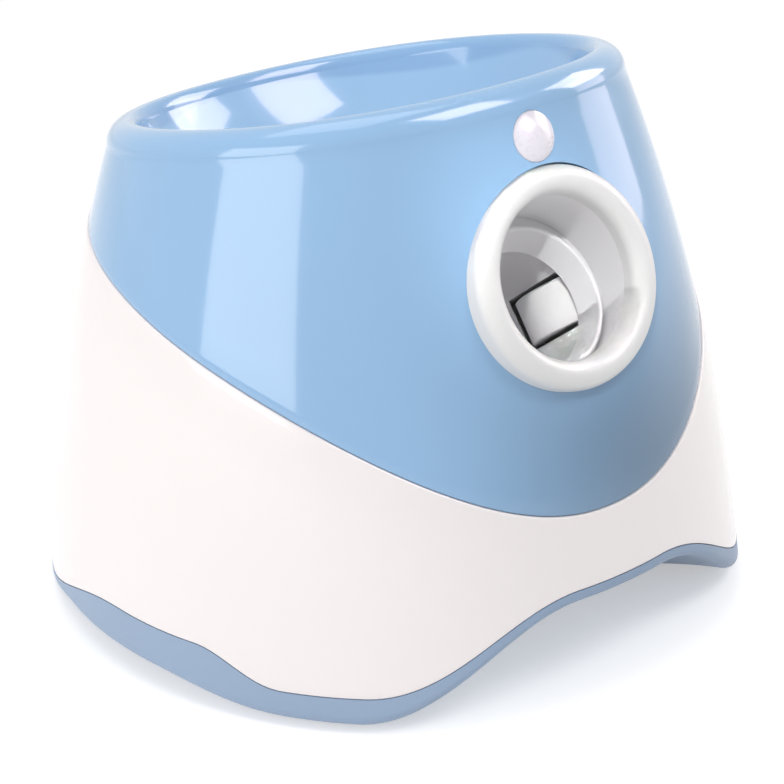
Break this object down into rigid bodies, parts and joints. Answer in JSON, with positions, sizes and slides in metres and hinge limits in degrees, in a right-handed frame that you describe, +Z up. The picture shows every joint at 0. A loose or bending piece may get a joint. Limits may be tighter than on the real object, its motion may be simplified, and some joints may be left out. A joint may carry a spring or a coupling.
{
  "type": "automatic dog ball launcher",
  "caption": "Rounded tapering dog ball launcher with an open ball hopper on top, motor-driven launch wheels behind a round front outlet, a geared feed rotor and rear controls.",
  "frame": {"origin": "on the floor, under the middle of the bounding box", "axes": "+Z up, the outlet faces -Y, +X to the right seen from the front"},
  "size_m": [0.297, 0.3194, 0.24],
  "materials": {
    "cover_blue": "glossy moulded plastic, light blue",
    "shell_white": "glossy moulded plastic, warm white",
    "base_blue": "satin moulded plastic, greyed light blue",
    "ring_white": "satin moulded plastic, white",
    "inner_white": "moulded plastic, light grey white",
    "lens": "milky translucent plastic",
    "wheel_tread": "soft pale rubber",
    "wheel_hub": "moulded plastic, light grey",
    "motor_steel": "drawn steel can",
    "shaft_steel": "ground steel",
    "bush": "sintered bronze",
    "board_green": "glass-fibre circuit board with black and metal components",
    "screw_steel": "zinc-plated steel",
    "gear_white": "natural acetal",
    "rotor_orange": "moulded plastic, orange",
    "button_blue": "soft moulded plastic, blue",
    "indicator": "clear light pipe",
    "panel_grey": "satin moulded plastic, pale grey",
    "jack_black": "moulded plastic, black",
    "battery_wrap": "shrink wrap, blue",
    "foot_rubber": "dark rubber",
    "stand_grey": "moulded plastic, grey"
  },
  "bodies": {
    "housing": {"upper_cover": "cover_blue", "hopper_funnel": "cover_blue", "lower_shell": "shell_white", "base_tray": "base_blue", "outlet_ring": "ring_white", "outlet_sleeve": "inner_white", "nozzle": "inner_white", "sensor_lens": "lens", "sensor_board": "board_green", "launcher_upper": "inner_white", "launcher_lower": "inner_white", "left_motor": "motor_steel", "right_motor": "motor_steel", "motor_screws": "screw_steel", "launcher_stand": "stand_grey", "feed_gearmotor": "motor_steel", "axle_bushes": "bush", "control_panel": "panel_grey", "indicator_lenses": "indicator", "control_board": "board_green", "dc_jack": "jack_black", "main_board": "board_green", "battery_pack": "battery_wrap", "battery_door": "base_blue", "door_screws": "screw_steel", "case_screws": "screw_steel", "board_screws": "screw_steel", "rubber_feet": "foot_rubber"},
    "left_wheel": {"left_wheel_hub": "wheel_hub", "left_wheel_tread": "wheel_tread", "left_motor_shaft": "shaft_steel"},
    "right_wheel": {"right_wheel_hub": "wheel_hub", "right_wheel_tread": "wheel_tread", "right_motor_shaft": "shaft_steel"},
    "feed_rotor": {"feed_rotor": "rotor_orange", "feed_axle": "shaft_steel", "feed_gear": "gear_white"},
    "feed_pinion": {"feed_pinion": "gear_white", "pinion_shaft": "shaft_steel"},
    "power_button": {"power_button": "button_blue"},
    "distance_button": {"distance_button": "button_blue"}
  },
  "joints": [
    {"name": "left_wheel_spin", "type": "hinge", "parent": "housing", "child": "left_wheel", "pos_m": [-0.051, -0.08435, 0.1325], "axis": [0, 0.5736, 0.8192], "continuous": true},
    {"name": "right_wheel_spin", "type": "hinge", "parent": "housing", "child": "right_wheel", "pos_m": [0.051, -0.08435, 0.1325], "axis": [0, 0.5736, 0.8192], "continuous": true},
    {"name": "feed_rotor_spin", "type": "hinge", "parent": "housing", "child": "feed_rotor", "pos_m": [0, -0.06994, 0.05893], "axis": [1, 0, 0], "continuous": true},
    {"name": "feed_pinion_spin", "type": "hinge", "parent": "housing", "child": "feed_pinion", "pos_m": [0.039, -0.04141, 0.04966], "axis": [1, 0, 0], "continuous": true},
    {"name": "power_button_press", "type": "slide", "parent": "housing", "child": "power_button", "axis": [0, -0.9579, -0.2872], "range_m": [0, 0.0012], "stiffness_N_per_m": 800},
    {"name": "distance_button_press", "type": "slide", "parent": "housing", "child": "distance_button", "axis": [0, -0.9579, -0.2872], "range_m": [0, 0.0012], "stiffness_N_per_m": 800}
  ],
  "couplings": [
    {"joint": "feed_pinion_spin", "follows": "feed_rotor_spin", "ratio": -3}
  ]
}
